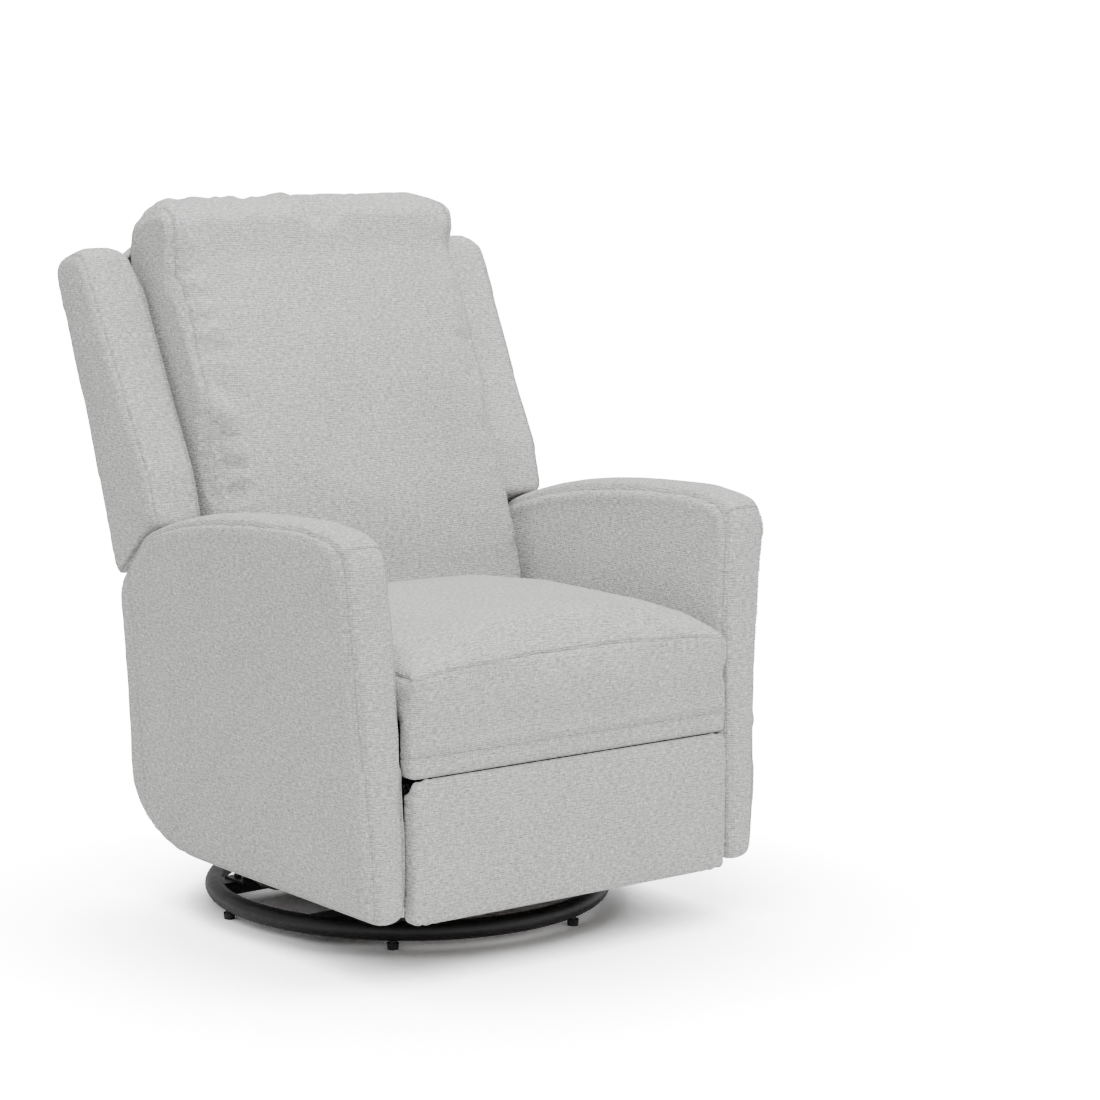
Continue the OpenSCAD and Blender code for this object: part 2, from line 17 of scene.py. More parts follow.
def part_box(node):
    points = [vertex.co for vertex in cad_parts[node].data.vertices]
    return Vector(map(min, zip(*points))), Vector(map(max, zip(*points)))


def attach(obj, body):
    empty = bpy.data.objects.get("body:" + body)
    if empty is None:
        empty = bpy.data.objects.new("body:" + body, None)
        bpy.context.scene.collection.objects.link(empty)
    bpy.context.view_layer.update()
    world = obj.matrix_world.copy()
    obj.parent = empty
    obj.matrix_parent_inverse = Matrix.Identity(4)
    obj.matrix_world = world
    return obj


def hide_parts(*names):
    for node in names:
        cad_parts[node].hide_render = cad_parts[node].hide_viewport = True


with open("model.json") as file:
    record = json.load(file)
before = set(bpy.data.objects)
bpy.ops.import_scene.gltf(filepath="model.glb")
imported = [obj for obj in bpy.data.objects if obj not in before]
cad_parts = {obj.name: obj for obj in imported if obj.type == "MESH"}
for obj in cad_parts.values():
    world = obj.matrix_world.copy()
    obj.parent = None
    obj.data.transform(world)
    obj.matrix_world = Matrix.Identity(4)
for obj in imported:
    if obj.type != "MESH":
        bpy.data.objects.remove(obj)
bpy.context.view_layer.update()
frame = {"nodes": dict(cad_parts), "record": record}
scene = bpy.context.scene

# %% [markdown]
# ## The camera and the light
# A long lens from a standing person's height keeps the uprights nearly parallel. The light is a
# bright sky with one large soft lamp on the left, a weaker one on the right and one overhead, as in
# a catalogue studio: it shows the crown of each cushion without a hard shadow. The floor and the
# sky are the same glowing white to the camera, so no horizon shows. The soft shadow under the chair
# is painted: the floor's glow is dimmed by ambient occlusion where the chair hides the sky from it.

# %% Camera
EYE = (-2.7397, -3.7873, 1.2401)
LENS, SENSOR = 101.72, 36
SHIFT_X, SHIFT_Y = 0.1237, -0.0023
camera_data = bpy.data.cameras.new("camera")
camera_data.lens = LENS
camera_data.sensor_width = SENSOR
camera_data.shift_x = SHIFT_X
camera_data.shift_y = SHIFT_Y
camera = bpy.data.objects.new("camera", camera_data)
camera.location = EYE
look = Vector((0.5814, 0.8002, -0.1471))
camera.rotation_euler = look.to_track_quat("-Z", "Y").to_euler()
scene.collection.objects.link(camera)
scene.camera = camera
print("camera looks", tuple(round(value, 3) for value in look))

# %% Floor
FLOOR_HALF = 40
floor_mesh = bpy.data.meshes.new("floor")
floor_mesh.from_pydata(
    [(x * FLOOR_HALF, y * FLOOR_HALF, 0) for x, y in ((-1, -1), (1, -1), (1, 1), (-1, 1))],
    [], [(0, 1, 2, 3)])
floor = bpy.data.objects.new("floor", floor_mesh)
scene.collection.objects.link(floor)
print("floor", 2 * FLOOR_HALF, "m across")


# %% Lamps
def lamp(name, place, aim, size, watts):
    """A square soft lamp that points at a place."""
    data = bpy.data.lights.new(name, "AREA")
    data.shape = "SQUARE"
    data.size = size
    data.energy = watts
    made = bpy.data.objects.new(name, data)
    made.location = place
    made.rotation_euler = (Vector(aim) - Vector(place)).to_track_quat("-Z", "Y").to_euler()
    scene.collection.objects.link(made)
    print(name, watts, "W")


lamp("key_lamp", (-1.7, -2.9, 4.1), (0, 0, 0.5), 2.2, 165)
lamp("fill_lamp", (3.4, -3.0, 2.4), (0, 0, 0.5), 3.0, 45)
lamp("top_lamp", (0.2, 0.2, 4.2), (0, 0, 0.4), 2.4, 120)

# %% Sky
SKY_LIGHT = 0.66      # how strongly the sky lights the chair
WHITE_PAPER = 17.0    # how bright the sky and the floor look to the camera
world = bpy.data.worlds.new("studio_sky")
world.use_nodes = True
sky = world.node_tree.nodes["Background"]
sky.inputs["Color"].default_value = (1, 1, 1, 1)
seen = world.node_tree.nodes.new("ShaderNodeLightPath")
shown = world.node_tree.nodes.new("ShaderNodeMapRange")
shown.inputs["To Min"].default_value = SKY_LIGHT
shown.inputs["To Max"].default_value = WHITE_PAPER
world.node_tree.links.new(seen.outputs["Is Camera Ray"], shown.inputs["Value"])
world.node_tree.links.new(shown.outputs["Result"], sky.inputs["Strength"])
scene.world = world
print("sky", SKY_LIGHT, "and", WHITE_PAPER, "to the camera")

# %% [markdown]
# ## Node groups
# Two effects are used by several finishes, so each is a group that is made once. `woven` lays out
# threads of cloth: fine ribs across, slubs up and down, and a heather of light and dark yarn. It
# chooses its own two directions from the surface's normal, so it needs no unwrapping. `worn`
# gives metal, timber and plastic a fine grain and slightly lighter edges.


# %% Node helpers
def link_value(tree, socket, value):
    """Sets an input socket from a number, a colour or another node's output."""
    if isinstance(value, bpy.types.NodeSocket):
        tree.links.new(value, socket)
    else:
        socket.default_value = value


def math_node(tree, operation, *values):
    """A Math node whose first output is returned."""
    node = tree.nodes.new("ShaderNodeMath")
    node.operation = operation
    for socket, value in zip(node.inputs, values):
        link_value(tree, socket, value)
    return node.outputs[0]


def noise(tree, vector, scale, detail=2.0, rough=0.5):
    """A noise texture's value output."""
    node = tree.nodes.new("ShaderNodeTexNoise")
    node.inputs["Scale"].default_value = scale
    node.inputs["Detail"].default_value = detail
    node.inputs["Roughness"].default_value = rough
    tree.links.new(vector, node.inputs["Vector"])
    return node.outputs["Fac"]


def combine(tree, x, y, z=0.0):
    """A vector made from three values."""
    node = tree.nodes.new("ShaderNodeCombineXYZ")
    for socket, value in zip(node.inputs, (x, y, z)):
        link_value(tree, socket, value)
    return node.outputs[0]


def mix_colour(tree, factor, first, second, mode="MIX"):
    """A Mix node for colours."""
    node = tree.nodes.new("ShaderNodeMix")
    node.data_type = "RGBA"
    node.blend_type = mode
    link_value(tree, node.inputs["Factor"], factor)
    link_value(tree, node.inputs["A"], first)
    link_value(tree, node.inputs["B"], second)
    return node.outputs["Result"]


def spread(tree, value, low, high, out_low=0.0, out_high=1.0):
    """Maps a range of a value onto another, and clamps it."""
    node = tree.nodes.new("ShaderNodeMapRange")
    node.clamp = True
    tree.links.new(value, node.inputs["Value"])
    ends = ("From Min", "From Max", "To Min", "To Max")
    for name, number in zip(ends, (low, high, out_low, out_high)):
        node.inputs[name].default_value = number
    return node.outputs["Result"]


def arches(tree, value, pitch):
    """A row of round arches, one to each pitch."""
    turned = math_node(tree, "MULTIPLY", value, math.pi / pitch)
    return math_node(tree, "ABSOLUTE", math_node(tree, "SINE", turned))


def new_group(name, inputs, outputs):
    """An empty shader group with named sockets; returns the tree, its inputs and its outputs."""
    tree = bpy.data.node_groups.new(name, "ShaderNodeTree")
    for kind, sockets in (("INPUT", inputs), ("OUTPUT", outputs)):
        for title, socket_type in sockets:
            tree.interface.new_socket(title, in_out=kind, socket_type=socket_type)
    return tree, tree.nodes.new("NodeGroupInput"), tree.nodes.new("NodeGroupOutput")


VALUE, COLOUR = "NodeSocketFloat", "NodeSocketColor"


# %% Woven cloth group
TURNED = 0.72         # the share of the normal past which a face counts as a side or a top
RIB_PITCH = 1.5       # in threads
WARP_PITCH = 1.2


def make_woven():
    """Threads in two directions, chosen from the normal, with slubs and a heather."""
    tree, source, sink = new_group(
        "woven",
        (("Light Yarn", COLOUR), ("Dark Yarn", COLOUR), ("Thread", VALUE), ("Heather", VALUE)),
        (("Color", COLOUR), ("Height", VALUE), ("Roughness", VALUE)))
    where = tree.nodes.new("ShaderNodeTexCoord")
    place = tree.nodes.new("ShaderNodeSeparateXYZ")
    tree.links.new(where.outputs["Object"], place.inputs[0])
    facing = tree.nodes.new("ShaderNodeSeparateXYZ")
    tree.links.new(where.outputs["Normal"], facing.inputs[0])
    side = math_node(tree, "GREATER_THAN", math_node(tree, "ABSOLUTE", facing.outputs["X"]), TURNED)
    flat = math_node(tree, "GREATER_THAN", math_node(tree, "ABSOLUTE", facing.outputs["Z"]), TURNED)
    swap = math_node(tree, "SUBTRACT", place.outputs["Y"], place.outputs["X"])
    along = math_node(tree, "MULTIPLY_ADD", side, swap, place.outputs["X"])
    drop = math_node(tree, "SUBTRACT", place.outputs["Y"], place.outputs["Z"])
    across = math_node(tree, "MULTIPLY_ADD", flat, drop, place.outputs["Z"])
    thread = source.outputs["Thread"]
    u = math_node(tree, "DIVIDE", along, thread)
    v = math_node(tree, "DIVIDE", across, thread)
    wobble = noise(tree, combine(tree, math_node(tree, "MULTIPLY", u, 0.2), v), 0.35)
    bend = math_node(tree, "MULTIPLY_ADD", wobble, 2.2, v)
    rib = arches(tree, bend, RIB_PITCH)
    warp = arches(tree, u, WARP_PITCH)
    streak = noise(tree, combine(tree, math_node(tree, "MULTIPLY", u, 0.26), v), 0.85, 3.0, 0.65)
    slub = noise(tree, combine(tree, u, math_node(tree, "MULTIPLY", v, 0.3)), 0.8, 2.0, 0.6)
    fleck = spread(tree, slub, 0.52, 0.74)
    broad = noise(tree, combine(tree, u, v), 0.02, 3.0, 0.55)
    tone = math_node(tree, "MULTIPLY_ADD", spread(tree, streak, 0.3, 0.7), 0.55,
                     math_node(tree, "MULTIPLY", fleck, 0.45))
    tone = math_node(tree, "MULTIPLY_ADD", rib, 0.22, tone)
    tone = math_node(tree, "MULTIPLY_ADD", math_node(tree, "SUBTRACT", broad, 0.5), 0.12, tone)
    centre = math_node(tree, "SUBTRACT", tone, 0.5)
    mixed = math_node(tree, "MULTIPLY_ADD", centre, source.outputs["Heather"], 0.5)
    mixed = spread(tree, mixed, 0.0, 1.0)
    colour = mix_colour(tree, mixed, source.outputs["Dark Yarn"], source.outputs["Light Yarn"])
    height = math_node(tree, "MULTIPLY_ADD", rib, 0.5, math_node(tree, "MULTIPLY", warp, 0.2))
    height = math_node(tree, "MULTIPLY_ADD", fleck, 0.6, height)
    height = math_node(tree, "MULTIPLY_ADD", streak, 0.5, height)
    tree.links.new(colour, sink.inputs["Color"])
    tree.links.new(height, sink.inputs["Height"])
    tree.links.new(spread(tree, streak, 0.0, 1.0, 0.82, 0.95), sink.inputs["Roughness"])
    return tree


woven = make_woven()
print("group", woven.name, "with", len(woven.nodes), "nodes")


# %% Worn surface group
FINE_GRAIN = 900.0
BROAD_GRAIN = 45.0


def make_worn():
    """Fine grain stretched along one axis, blotches, and lighter edges from convex points."""
    tree, source, sink = new_group(
        "worn",
        (("Base", COLOUR), ("Edge", COLOUR), ("Grain", VALUE), ("Stretch", VALUE), ("Wear", VALUE)),
        (("Color", COLOUR), ("Height", VALUE), ("Roughness", VALUE)))
    where = tree.nodes.new("ShaderNodeTexCoord")
    place = tree.nodes.new("ShaderNodeSeparateXYZ")
    tree.links.new(where.outputs["Object"], place.inputs[0])
    grain = source.outputs["Grain"]
    stretched = combine(
        tree, math_node(tree, "MULTIPLY", place.outputs["X"], source.outputs["Stretch"]),
        place.outputs["Y"], place.outputs["Z"])
    fine = noise(tree, stretched, FINE_GRAIN, 3.0, 0.6)
    broad = noise(tree, stretched, BROAD_GRAIN, 4.0, 0.6)
    blotch = spread(tree, broad, 0.3, 0.7, 0.82, 1.08)
    grained = math_node(tree, "MULTIPLY_ADD", math_node(tree, "SUBTRACT", fine, 0.5), grain, blotch)
    grey = combine(tree, grained, grained, grained)
    shade = mix_colour(tree, 1.0, source.outputs["Base"], grey, "MULTIPLY")
    edge = spread(tree, tree.nodes.new("ShaderNodeNewGeometry").outputs["Pointiness"], 0.52, 0.6)
    rubbed = math_node(tree, "MULTIPLY", edge, source.outputs["Wear"])
    worn_edge = math_node(tree, "MULTIPLY", rubbed, broad)
    colour = mix_colour(tree, worn_edge, shade, source.outputs["Edge"])
    tree.links.new(colour, sink.inputs["Color"])
    tree.links.new(math_node(tree, "MULTIPLY_ADD", broad, 0.6, fine), sink.inputs["Height"])
    tree.links.new(spread(tree, broad, 0.2, 0.8, -0.08, 0.08), sink.inputs["Roughness"])
    return tree


worn = make_worn()
print("group", worn.name, "with", len(worn.nodes), "nodes")

# %% [markdown]
# ## The finishes
# A material holds its own Principled BSDF, and takes colour, height and roughness from a group.
# Cloth is rough with a little sheen, which a real nap has: the light that grazes it comes back
# softly. Where a cover carries signed distances to its seams, the cloth presses a groove along each
# seam and paints a thin dark line of shade in it, which stays sharp however coarse the net is.
# Powder coat is black with a low, even gloss. The timbers at the edge of the back are wrapped in
# the grey cloth, because their ends show from the side.


# %% Cloth material
SEAM_ZERO = 1.0       # what a point on a seam stores, so that a mesh without seams shows none
SEAM_FAR = 0.05       # what a point away from any seam stores beyond that
GROOVE_HALF = 0.0045
GROOVE_DEEP = 0.0025
THREAD_HIGH = 0.0009


def cloth_material(name, light, dark, thread, heather, bump, sheen):
    """A woven cloth."""
    made = bpy.data.materials.new(name)
    made.use_nodes = True
    tree = made.node_tree
    shader = tree.nodes["Principled BSDF"]
    weave = tree.nodes.new("ShaderNodeGroup")
    weave.node_tree = woven
    weave.inputs["Light Yarn"].default_value = (*light, 1)
    weave.inputs["Dark Yarn"].default_value = (*dark, 1)
    weave.inputs["Thread"].default_value = thread
    weave.inputs["Heather"].default_value = heather
    marked = tree.nodes.new("ShaderNodeAttribute")
    marked.attribute_name = "seams"
    each = tree.nodes.new("ShaderNodeSeparateXYZ")
    tree.links.new(marked.outputs["Vector"], each.inputs[0])
    first, second, third = (
        math_node(tree, "ABSOLUTE", math_node(tree, "SUBTRACT", each.outputs[axis], SEAM_ZERO))
        for axis in "XYZ")
    away = math_node(tree, "MINIMUM", math_node(tree, "MINIMUM", first, second), third)
    groove = spread(tree, away, 0.0, GROOVE_HALF)
    # Painted shade: a thin dark line along each seam, where the bottom of its groove would lie in shade.
    line = spread(tree, away, 0.0002, 0.0012, 0.3, 0.0)
    press = tree.nodes.new("ShaderNodeBump")
    press.inputs["Strength"].default_value = 1.0
    press.inputs["Distance"].default_value = GROOVE_DEEP
    tree.links.new(groove, press.inputs["Height"])
    relief = tree.nodes.new("ShaderNodeBump")
    relief.inputs["Strength"].default_value = bump
    relief.inputs["Distance"].default_value = THREAD_HIGH
    tree.links.new(press.outputs["Normal"], relief.inputs["Normal"])
    sewn = mix_colour(tree, line, weave.outputs["Color"], (*(0.3 * part for part in dark), 1))
    tree.links.new(sewn, shader.inputs["Base Color"])
    tree.links.new(weave.outputs["Roughness"], shader.inputs["Roughness"])
    tree.links.new(weave.outputs["Height"], relief.inputs["Height"])
    tree.links.new(relief.outputs["Normal"], shader.inputs["Normal"])
    shader.inputs["Sheen Weight"].default_value = sheen
    shader.inputs["Sheen Roughness"].default_value = 0.5
    shader.inputs["Specular IOR Level"].default_value = 0.25
    return made


grey_cloth = cloth_material(
    "grey_cloth", light=(0.84, 0.838, 0.822), dark=(0.27, 0.27, 0.264),
    thread=0.0019, heather=1.5, bump=1.0, sheen=0.12)
# Painted shade: a near-black cloth for the sheets that stand in for the shade in the gaps.
shade_cloth = cloth_material(
    "shade_cloth", light=(0.03, 0.03, 0.032), dark=(0.012, 0.012, 0.013),
    thread=0.0012, heather=0.6, bump=0.4, sheen=0.0)
print("cloths", grey_cloth.name, shade_cloth.name)


# %% Hard materials
def hard_material(name, base, edge, grain, stretch, wear, rough, metal=0.0, bump=0.15):
    """Metal, timber or plastic."""
    made = bpy.data.materials.new(name)
    made.use_nodes = True
    tree = made.node_tree
    shader = tree.nodes["Principled BSDF"]
    surface = tree.nodes.new("ShaderNodeGroup")
    surface.node_tree = worn
    for title, value in (("Base", (*base, 1)), ("Edge", (*edge, 1)), ("Grain", grain),
                         ("Stretch", stretch), ("Wear", wear)):
        surface.inputs[title].default_value = value
    relief = tree.nodes.new("ShaderNodeBump")
    relief.inputs["Strength"].default_value = bump
    relief.inputs["Distance"].default_value = 0.0003
    level = math_node(tree, "ADD", surface.outputs["Roughness"], rough)
    tree.links.new(surface.outputs["Color"], shader.inputs["Base Color"])
    tree.links.new(level, shader.inputs["Roughness"])
    tree.links.new(surface.outputs["Height"], relief.inputs["Height"])
    tree.links.new(relief.outputs["Normal"], shader.inputs["Normal"])
    shader.inputs["Metallic"].default_value = metal
    return made


HARD = {
    "black_steel": hard_material(
        "black_powder_coat", base=(0.006, 0.006, 0.007), edge=(0.05, 0.05, 0.05),
        grain=0.3, stretch=1.0, wear=0.5, rough=0.42, bump=0.3),
    "zinc_steel": hard_material(
        "zinc_plate", base=(0.5, 0.51, 0.53), edge=(0.8, 0.8, 0.8),
        grain=0.5, stretch=0.2, wear=0.5, rough=0.38, metal=1.0),
    "spring_steel": hard_material(
        "drawn_wire", base=(0.3, 0.3, 0.32), edge=(0.6, 0.6, 0.6),
        grain=0.4, stretch=0.2, wear=0.5, rough=0.35, metal=1.0),
    "glide_plastic": hard_material(
        "black_plastic", base=(0.015, 0.015, 0.016), edge=(0.06, 0.06, 0.06),
        grain=0.3, stretch=1.0, wear=0.3, rough=0.5),
    "nylon": hard_material(
        "nylon", base=(0.78, 0.76, 0.7), edge=(0.9, 0.9, 0.88),
        grain=0.1, stretch=1.0, wear=0.2, rough=0.45),
    "timber": hard_material(
        "sawn_timber", base=(0.5, 0.34, 0.19), edge=(0.62, 0.46, 0.3),
        grain=0.7, stretch=0.06, wear=0.4, rough=0.7, bump=0.5),
}

# %% Floor paint
SHADOW_REACH = 0.45
SHADOW_DEPTH = 3.3
floor_paint = bpy.data.materials.new("floor_paint")
floor_paint.use_nodes = True
floor_tree = floor_paint.node_tree
floor_shader = floor_tree.nodes["Principled BSDF"]
floor_shader.inputs["Base Color"].default_value = (0.93, 0.93, 0.93, 1)
floor_shader.inputs["Roughness"].default_value = 0.7
floor_shader.inputs["Emission Color"].default_value = (1, 1, 1, 1)
# Painted shadow: the floor's glow to the camera is dimmed by ambient occlusion near the chair, which
# paints a soft shadow under it.
open_sky = floor_tree.nodes.new("ShaderNodeAmbientOcclusion")
open_sky.samples = 16
open_sky.inputs["Distance"].default_value = SHADOW_REACH
painted_shadow_factor = math_node(floor_tree, "POWER", open_sky.outputs["AO"], SHADOW_DEPTH)
floor_path = floor_tree.nodes.new("ShaderNodeLightPath")
painted_floor_glow = math_node(floor_tree, "MULTIPLY", painted_shadow_factor, floor_path.outputs["Is Camera Ray"])
floor_tree.links.new(math_node(floor_tree, "MULTIPLY", painted_floor_glow, WHITE_PAPER),
                     floor_shader.inputs["Emission Strength"])
floor_mesh.materials.append(floor_paint)
print("shadow reaches", SHADOW_REACH, "m")

# %% Finishes on the frame's own parts
slot_of = {part["node"]: part["material_slot"] for part in frame["record"]["subparts"]}
for node, part in frame["nodes"].items():
    part.data.materials.clear()
    part.data.materials.append(HARD.get(slot_of[node], grey_cloth))
WRAPPED = ("back_rail_top", "back_post_left", "back_post_right")
for node in WRAPPED:
    frame["nodes"][node].data.materials[0] = grey_cloth
print("finishes", sorted(HARD))

# %% [markdown]
# ## Tools for covers
# A cover starts as the plain solid that the frame holds in its place. A voxel remesh turns that
# into an even net, a few rounds of smoothing turn the sharp arrises into the soft ones that
# wadding gives, and what follows is worked on the net's points as one array, which is quick.


# %% Mesh helpers
def points_of(thing):
    """A mesh's points as an array."""
    flat = np.empty(len(thing.data.vertices) * 3, np.float32)
    thing.data.vertices.foreach_get("co", flat)
    return flat.reshape(-1, 3).astype(float)


def set_points(thing, points):
    """Writes an array of points back to the mesh."""
    thing.data.vertices.foreach_set("co", points.astype(np.float32).ravel())
    thing.data.update()


def normals_of(thing):
    """A mesh's point normals as an array."""
    flat = np.empty(len(thing.data.vertices) * 3, np.float32)
    thing.data.vertex_normals.foreach_get("vector", flat)
    return flat.reshape(-1, 3).astype(float)


def shade_smooth(mesh):
    """Makes the light run smoothly over the faces."""
    mesh.polygons.foreach_set("use_smooth", [True] * len(mesh.polygons))


def bake_modifiers(thing):
    """Replaces the mesh by what its modifiers make of it."""
    bpy.context.view_layer.update()
    depsgraph = bpy.context.evaluated_depsgraph_get()
    made = bpy.data.meshes.new_from_object(thing.evaluated_get(depsgraph))
    thing.modifiers.clear()
    thing.data = made


def smooth(thing, rounds, factor=0.5):
    """Moves every point towards the mean of its neighbours."""
    points = points_of(thing)
    ends = np.empty(len(thing.data.edges) * 2, np.int32)
    thing.data.edges.foreach_get("vertices", ends)
    first, second = ends.reshape(-1, 2).T
    count = np.bincount(ends, minlength=len(points))[:, None].clip(1)
    for _ in range(rounds):
        total = np.stack([
            np.bincount(first, points[second, k], len(points))
            + np.bincount(second, points[first, k], len(points)) for k in range(3)], 1)
        points += factor * (total / count - points)
    set_points(thing, points)


def outer_shell_only(thing):
    """Drops the closed pockets inside a solid and keeps its outer skin."""
    count = len(thing.data.vertices)
    ends = np.empty(len(thing.data.edges) * 2, np.int32)
    thing.data.edges.foreach_get("vertices", ends)
    first, second = ends.reshape(-1, 2).T
    label = np.arange(count)
    while True:
        low = np.minimum(label[first], label[second])
        before = label.copy()
        np.minimum.at(label, first, low)
        np.minimum.at(label, second, low)
        label = label[label]
        if (label == before).all():
            break
    names, sizes = np.unique(label, return_counts=True)
    if len(names) == 1:
        return
    keep = set(np.nonzero(label == names[sizes.argmax()])[0].tolist())
    points = points_of(thing)
    order = {old: new for new, old in enumerate(sorted(keep))}
    faces = [[order[v] for v in face.vertices]
             for face in thing.data.polygons if face.vertices[0] in keep]
    made = bpy.data.meshes.new(thing.data.name)
    made.from_pydata(points[sorted(keep)].tolist(), [], faces)
    thing.data = made


# %% Covers
def cover_from(name, nodes, body, voxel, rounds):
    """A soft cover over one or more plain solids of the frame."""
    corners, faces = [], []
    for node in nodes:
        source = frame["nodes"][node].data
        start = len(corners)
        corners += [tuple(v.co) for v in source.vertices]
        faces += [[start + v for v in face.vertices] for face in source.polygons]
    mesh = bpy.data.meshes.new(name)
    mesh.from_pydata(corners, [], faces)
    made = bpy.data.objects.new(name, mesh)
    scene.collection.objects.link(made)
    remesh = made.modifiers.new("net", "REMESH")
    remesh.mode = "VOXEL"
    remesh.voxel_size = voxel
    bake_modifiers(made)
    outer_shell_only(made)
    smooth(made, rounds)
    shade_smooth(made.data)
    made.data.materials.append(grey_cloth)
    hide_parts(*nodes)
    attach(made, body)
    print(name, len(made.data.vertices), "points")
    return made


# %% Seams
def dense(route, step=0.004):
    """A polyline with points every few millimetres."""
    route = [Vector(point) for point in route]
    made = []
    for start, end in zip(route, route[1:]):
        pieces = max(1, int((end - start).length / step))
        made += [start.lerp(end, k / pieces) for k in range(pieces)]
    return made + [route[-1]]


def distance_to(points, route):
    """How far each point is from a route."""
    tree = kdtree.KDTree(len(route))
    for index, place in enumerate(route):
        tree.insert(place, index)
    tree.balance()
    return np.array([tree.find(point)[2] for point in points])


def sew(thing, route, depth, width):
    """Presses a seam into a cover along a route, with the cloth puffed a little on each side."""
    points, normals = points_of(thing), normals_of(thing)
    away = distance_to(points, dense(route))
    press = -depth * np.exp(-(away / width) ** 2)
    puff = 0.35 * depth * np.exp(-((away - 3 * width) / (1.6 * width)) ** 2)
    set_points(thing, points + normals * (press + puff)[:, None])


def mark_seams(thing, *lines):
    """Stores signed distances to up to three seams; each line is (distance, where it is sewn)."""
    stored = np.full((len(thing.data.vertices), 3), SEAM_ZERO + SEAM_FAR, np.float32)
    for index, (distance, sewn) in enumerate(lines):
        beyond = np.where(distance < 0, -SEAM_FAR, SEAM_FAR)
        stored[:, index] = SEAM_ZERO + np.where(sewn, distance, beyond)
    layer = thing.data.attributes.new("seams", "FLOAT_VECTOR", "POINT")
    layer.data.foreach_set("vector", stored.ravel())


# %% Swelling
def swell(thing, pressure, cap, frames, pinned, grow):
    """Blows a cover up as cloth; cap, one value or one for each point, limits how far it moves."""
    before = points_of(thing)
    cloth = thing.modifiers.new("cloth", "CLOTH")
    settings = cloth.settings
    settings.quality = 4
    settings.mass = 0.35
    settings.use_pressure = True
    settings.uniform_pressure_force = pressure
    settings.tension_stiffness = 18
    settings.compression_stiffness = 12
    settings.bending_stiffness = 0.6
    settings.shrink_min = -grow
    settings.effector_weights.gravity = 0
    cloth.collision_settings.use_collision = False
    group = thing.vertex_groups.new(name="pinned")
    group.add(np.nonzero(pinned)[0].tolist(), 1.0, "REPLACE")
    settings.vertex_group_mass = "pinned"
    cloth.point_cache.frame_start = 1
    cloth.point_cache.frame_end = frames
    for step in range(1, frames + 1):
        scene.frame_set(step)
    bake_modifiers(thing)
    scene.frame_set(1)
    moved = points_of(thing) - before
    length = np.linalg.norm(moved, axis=1, keepdims=True).clip(1e-9)
    reach = np.broadcast_to(cap, len(before))[:, None]
    set_points(thing, before + moved * np.minimum(1.0, reach / length))
    shade_smooth(thing.data)
    print(thing.name, "swelled by up to", round(float(length.max()) * 1000, 1), "mm")


def finish_cover(thing):
    divide = thing.modifiers.new("divide", "SUBSURF")
    divide.levels = 1
    divide.render_levels = 1


# %% Stitches
STITCH_EVERY = 0.0072
STITCH_LONG = 0.0046
STITCH_RADIUS = 0.00055
STITCH_RINGS = ((-0.5, -0.3, 0.5), (-0.2, 0.9, 1.0), (0.2, 0.9, 1.0), (0.5, -0.3, 0.5))
STITCH_SIDES = 6


def stitches(name, thing, route, body):
    """A row of short raised threads lying on a cover along a route.

    Each ring of a thread has its place along it, its lift and its share of the radius.
    """
    tree = BVHTree.FromPolygons([tuple(p) for p in points_of(thing)],
                                [tuple(face.vertices) for face in thing.data.polygons])
    path = dense(route, STITCH_EVERY / 2)
    corners, faces = [], []
    for start, end in zip(path[::2], path[1::2]):
        way = end - start
        if way.length < 1e-6:
            continue
        way.normalize()
        middle = (start + end) / 2
        hit, normal, _, _ = tree.find_nearest(middle)
        side = way.cross(normal).normalized()
        base = len(corners)
        for along, lift, half in STITCH_RINGS:
            for turn in range(STITCH_SIDES):
                angle = turn * 2 * math.pi / STITCH_SIDES
                corners.append(hit + way * along * STITCH_LONG
                               + side * math.cos(angle) * STITCH_RADIUS * half
                               + normal * (lift + math.sin(angle) * half) * STITCH_RADIUS)
        for ring in range(len(STITCH_RINGS) - 1):
            start_ring, next_ring = base + ring * STITCH_SIDES, base + (ring + 1) * STITCH_SIDES
            for turn in range(STITCH_SIDES):
                after = (turn + 1) % STITCH_SIDES
                faces.append((start_ring + turn, start_ring + after, next_ring + after, next_ring + turn))
        faces.append(tuple(base + turn for turn in reversed(range(STITCH_SIDES))))
        last_ring = base + (len(STITCH_RINGS) - 1) * STITCH_SIDES
        faces.append(tuple(last_ring + turn for turn in range(STITCH_SIDES)))
    mesh = bpy.data.meshes.new(name)
    mesh.from_pydata(corners, [], faces)
    shade_smooth(mesh)
    mesh.materials.append(grey_cloth)
    made = bpy.data.objects.new(name, mesh)
    scene.collection.objects.link(made)
    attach(made, body)
    print(name, len(path) // 2, "stitches")


# %% Working a cover by a formula
def bump_by(thing, offset):
    """Moves each point by what a function of all points and normals gives."""
    points, normals = points_of(thing), normals_of(thing)
    set_points(thing, points + offset(points, normals))


# %% [markdown]
# ## The arms
# An arm is a flat box of wadding over timber. Its side panel is one piece of cloth, edged by a
# strip that climbs the front, turns the corner and follows the arched top. The strip is sewn to
# the panels along both of its edges, so the two seams are where the light breaks. The routes of
# the seams come from the arm's own solid, read along its edge.


# %% Outline of a panel
SIDES = (("left", 1), ("right", -1))
ON_SIDE = np.array([0, 1, 1])    # flattens points onto the plane of Y and Z


